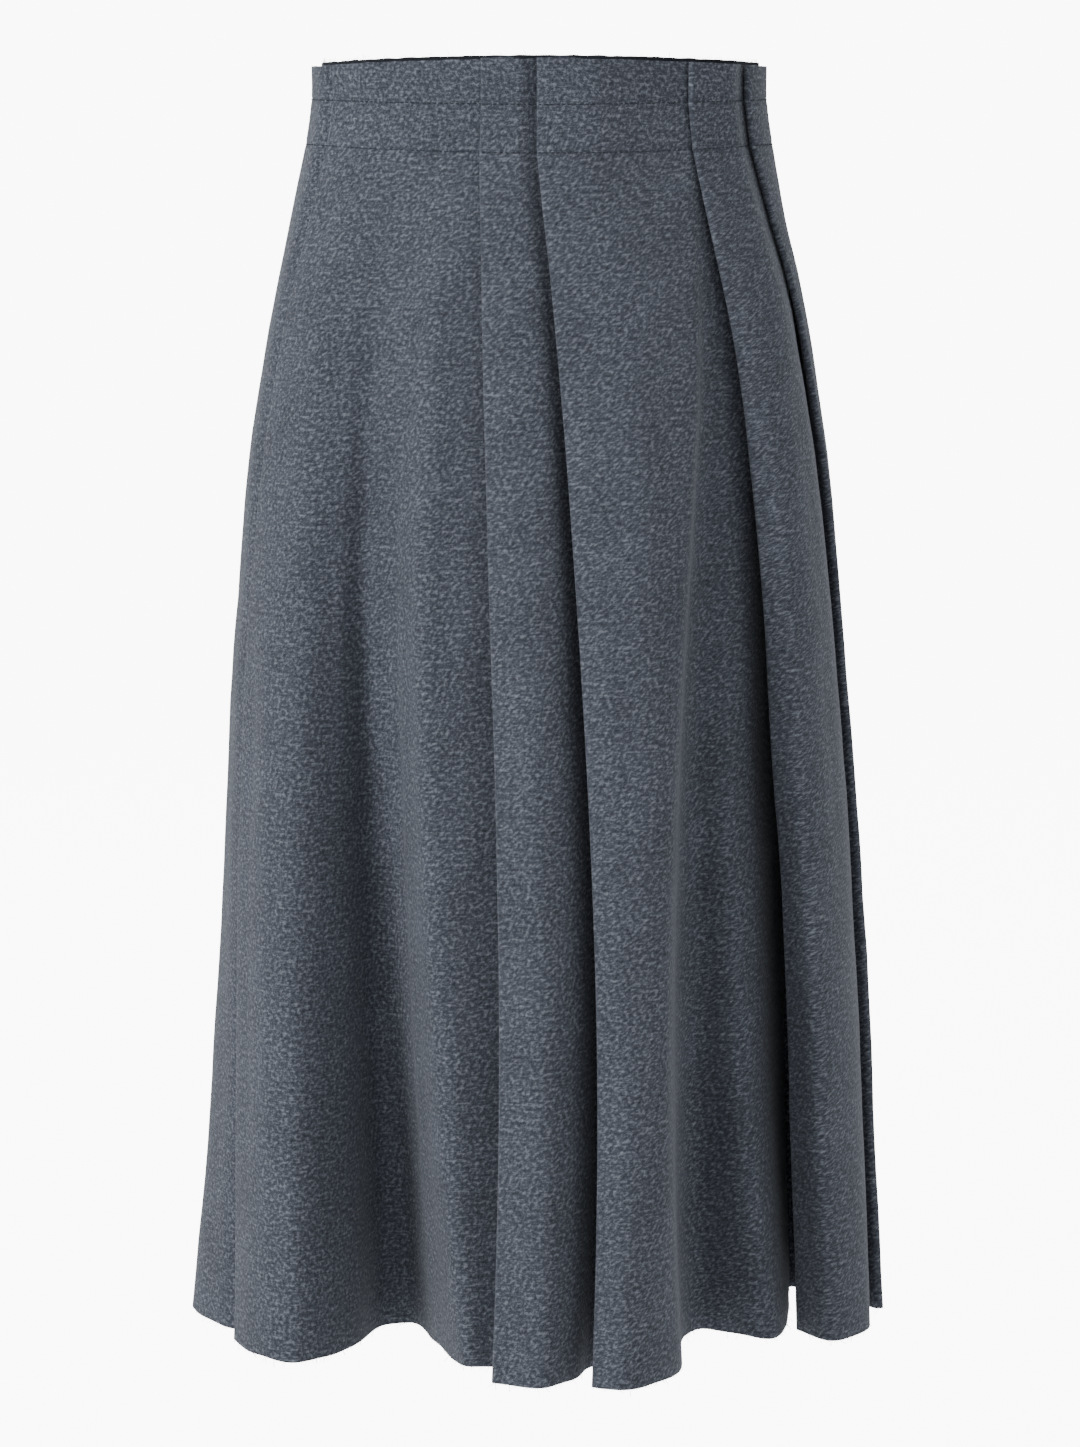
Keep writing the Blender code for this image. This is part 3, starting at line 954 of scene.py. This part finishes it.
def steelMaterial():
    made = bpy.data.materials.new("hookSteel")
    made.use_nodes = True
    tree = made.node_tree
    shader = tree.nodes["Principled BSDF"]
    where = tree.nodes.new("ShaderNodeTexCoord").outputs["Object"]
    brushed = addNode(tree, "ShaderNodeMapping", {"Vector": where, "Scale": (300.0, 300.0, 4000.0)})
    grain = addNode(tree, "ShaderNodeTexNoise", {"Vector": brushed.outputs[0], "Scale": 1.0, "Detail": 3.0})
    worn = addNode(tree, "ShaderNodeTexNoise", {"Vector": where, "Scale": 500.0, "Detail": 2.0})
    tone = addNode(
        tree,
        "ShaderNodeMix",
        {"Factor": worn.outputs[0], 6: (0.34, 0.34, 0.36, 1.0), 7: (0.50, 0.50, 0.51, 1.0)},
        data_type="RGBA",
    )
    rough = addNode(
        tree, "ShaderNodeMapRange", {"Value": grain.outputs[0], "To Min": 0.22, "To Max": 0.48}
    )
    bump = addNode(tree, "ShaderNodeBump", {"Strength": 0.3, "Distance": 0.0001, "Height": grain.outputs[0]})
    tree.links.new(tone.outputs[2], shader.inputs["Base Color"])
    tree.links.new(rough.outputs[0], shader.inputs["Roughness"])
    tree.links.new(bump.outputs[0], shader.inputs["Normal"])
    shader.inputs["Metallic"].default_value = 1.0
    return made


steel = steelMaterial()
for node in ("waist_hook", "waist_bar"):
    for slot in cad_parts[node].material_slots:
        slot.material = steel

stitches = growOn(
    pathObject("waistStitches", stitchRuns()),
    stitchTree(),
    {
        "Stitch Length": stitching["length"],
        "Gap": stitching["gap"],
        "Thread Radius": stitching["radius"],
        "Thread": threadFinish,
    },
)
fibres = fibreTree()
hemStart = Vector((0.0, 0.0, fraying["hemBelow"]))
hemRuns = [[v - hemStart for v in levels[cloth["hem"]]] for levels in (frontLevels, backLevels)]
hemFray = growOn(
    pathObject("hemFray", hemRuns),
    fibres,
    {
        "Spacing": fraying["hemEvery"],
        "Length": fraying["hemLength"],
        "Up": -1.0,
        "Spread": fraying["spread"],
        "Fibre": fibreFinish,
    },
)
# the fibres at the tape's top carry the same painted shade as the tape
tapeFray = growOn(
    pathObject("tapeFray", [tapeTop]),
    fibres,
    {
        "Spacing": fraying["topEvery"],
        "Length": fraying["topLength"],
        "Up": 1.0,
        "Spread": fraying["spread"],
        "Fibre": tapePaintedShade,
    },
)
print("stitches and fraying", [len(item.data.polygons) for item in (stitches, hemFray, tapeFray)])


studio = {
    "floorDrop": 0.28,
    "floorFlat": 7.0,
    "floorRise": 5.0,
    "floorBends": 15,
    "floorAround": 96,
    "floor": (0.90, 0.90, 0.90, 1.0),
    "world": 0.74,
    "floorGlow": 9.0,
    "lights": [
        # name, place, aims at, size, watts
        ("keyLight", (-2.9, -2.1, 1.3), (0.0, 0.0, -0.35), 1.5, 136.0),
        ("fillLight", (2.9, -2.2, 0.2), (0.0, 0.0, -0.40), 2.2, 16.0),
        ("topLight", (0.3, -0.4, 3.0), (0.0, 0.0, -0.40), 2.4, 26.0),
        ("backLight", (-1.0, 3.4, 1.4), (0.0, 0.0, -0.35), 2.4, 40.0),
    ],
    "camera": (0.0, -2.775, 0.0),
    "tiltDown": 7.763,
    "lens": 111.96,
}


def floorMaterial():
    # white, with a glow only the camera sees, so that the floor lights the cloth no more than paper would
    made = bpy.data.materials.new("studioWhite")
    made.use_nodes = True
    tree = made.node_tree
    shader = tree.nodes["Principled BSDF"]
    shader.inputs["Base Color"].default_value = studio["floor"]
    shader.inputs["Roughness"].default_value = 0.9
    shader.inputs["Specular IOR Level"].default_value = 0.1
    shader.inputs["Emission Color"].default_value = (1.0, 1.0, 1.0, 1.0)
    seen = tree.nodes.new("ShaderNodeLightPath").outputs["Is Camera Ray"]
    glow = addNode(tree, "ShaderNodeMath", {0: seen, 1: studio["floorGlow"]}, operation="MULTIPLY")
    tree.links.new(glow.outputs[0], shader.inputs["Emission Strength"])
    return made


def makeFloor():
    # a round floor that curves up into its own backdrop
    flat, curve, around = studio["floorFlat"], studio["floorRise"], studio["floorAround"]
    profile = [(flat, 0.0)]
    for n in range(1, studio["floorBends"] + 1):
        turn = math.pi / 2 * n / studio["floorBends"]
        profile.append((flat + curve * math.sin(turn), curve * (1 - math.cos(turn))))
    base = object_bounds()[0].z - studio["floorDrop"]
    vertices = [(0.0, 0.0, base)]
    for reach, rise in profile:
        for k in range(around):
            turn = 2 * math.pi * k / around
            vertices.append((reach * math.cos(turn), reach * math.sin(turn), base + rise))
    faces = [(0, 1 + k, 1 + (k + 1) % around) for k in range(around)]
    for r in range(len(profile) - 1):
        for k in range(around):
            a, b = 1 + r * around + k, 1 + r * around + (k + 1) % around
            faces.append((a, a + around, b + around, b))
    mesh = bpy.data.meshes.new("studioFloor")
    mesh.from_pydata(vertices, [], faces)
    mesh.polygons.foreach_set("use_smooth", [True] * len(mesh.polygons))
    mesh.materials.append(floorMaterial())
    floor = linkNew("studioFloor", mesh)


def makeLights():
    for name, place, aim, size, watts in studio["lights"]:
        data = bpy.data.lights.new(name, "AREA")
        data.shape = "DISK"
        data.size = size
        data.energy = watts
        lamp = linkNew(name, data)
        lamp.location = place
        lamp.rotation_euler = (Vector(aim) - Vector(place)).to_track_quat("-Z", "Y").to_euler()
    world = bpy.data.worlds.new("softStudio")
    world.use_nodes = True
    sky = world.node_tree.nodes["Background"]
    sky.inputs["Color"].default_value = (1.0, 1.0, 1.0, 1.0)
    sky.inputs["Strength"].default_value = studio["world"]
    bpy.context.scene.world = world


def makeCamera():
    data = bpy.data.cameras.new("camera")
    data.sensor_width = 36.0
    data.lens = studio["lens"]
    camera = linkNew("camera", data)
    camera.location = studio["camera"]
    camera.rotation_euler = (math.radians(90.0 - studio["tiltDown"]), 0.0, 0.0)
    bpy.context.scene.camera = camera


makeFloor()
makeLights()
makeCamera()

for piece, finish in (
    (frontPanel, "wool_blue_grey"),
    (backPanel, "wool_blue_grey"),
    (edgeTape, "edge_tape_dark"),
    (stitches, "edge_tape_dark"),
    (hemFray, "wool_blue_grey"),
    (tapeFray, "edge_tape_dark"),
):
    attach(piece, "root")
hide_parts("front_panel")
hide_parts("back_panel")
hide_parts("edge_tape")
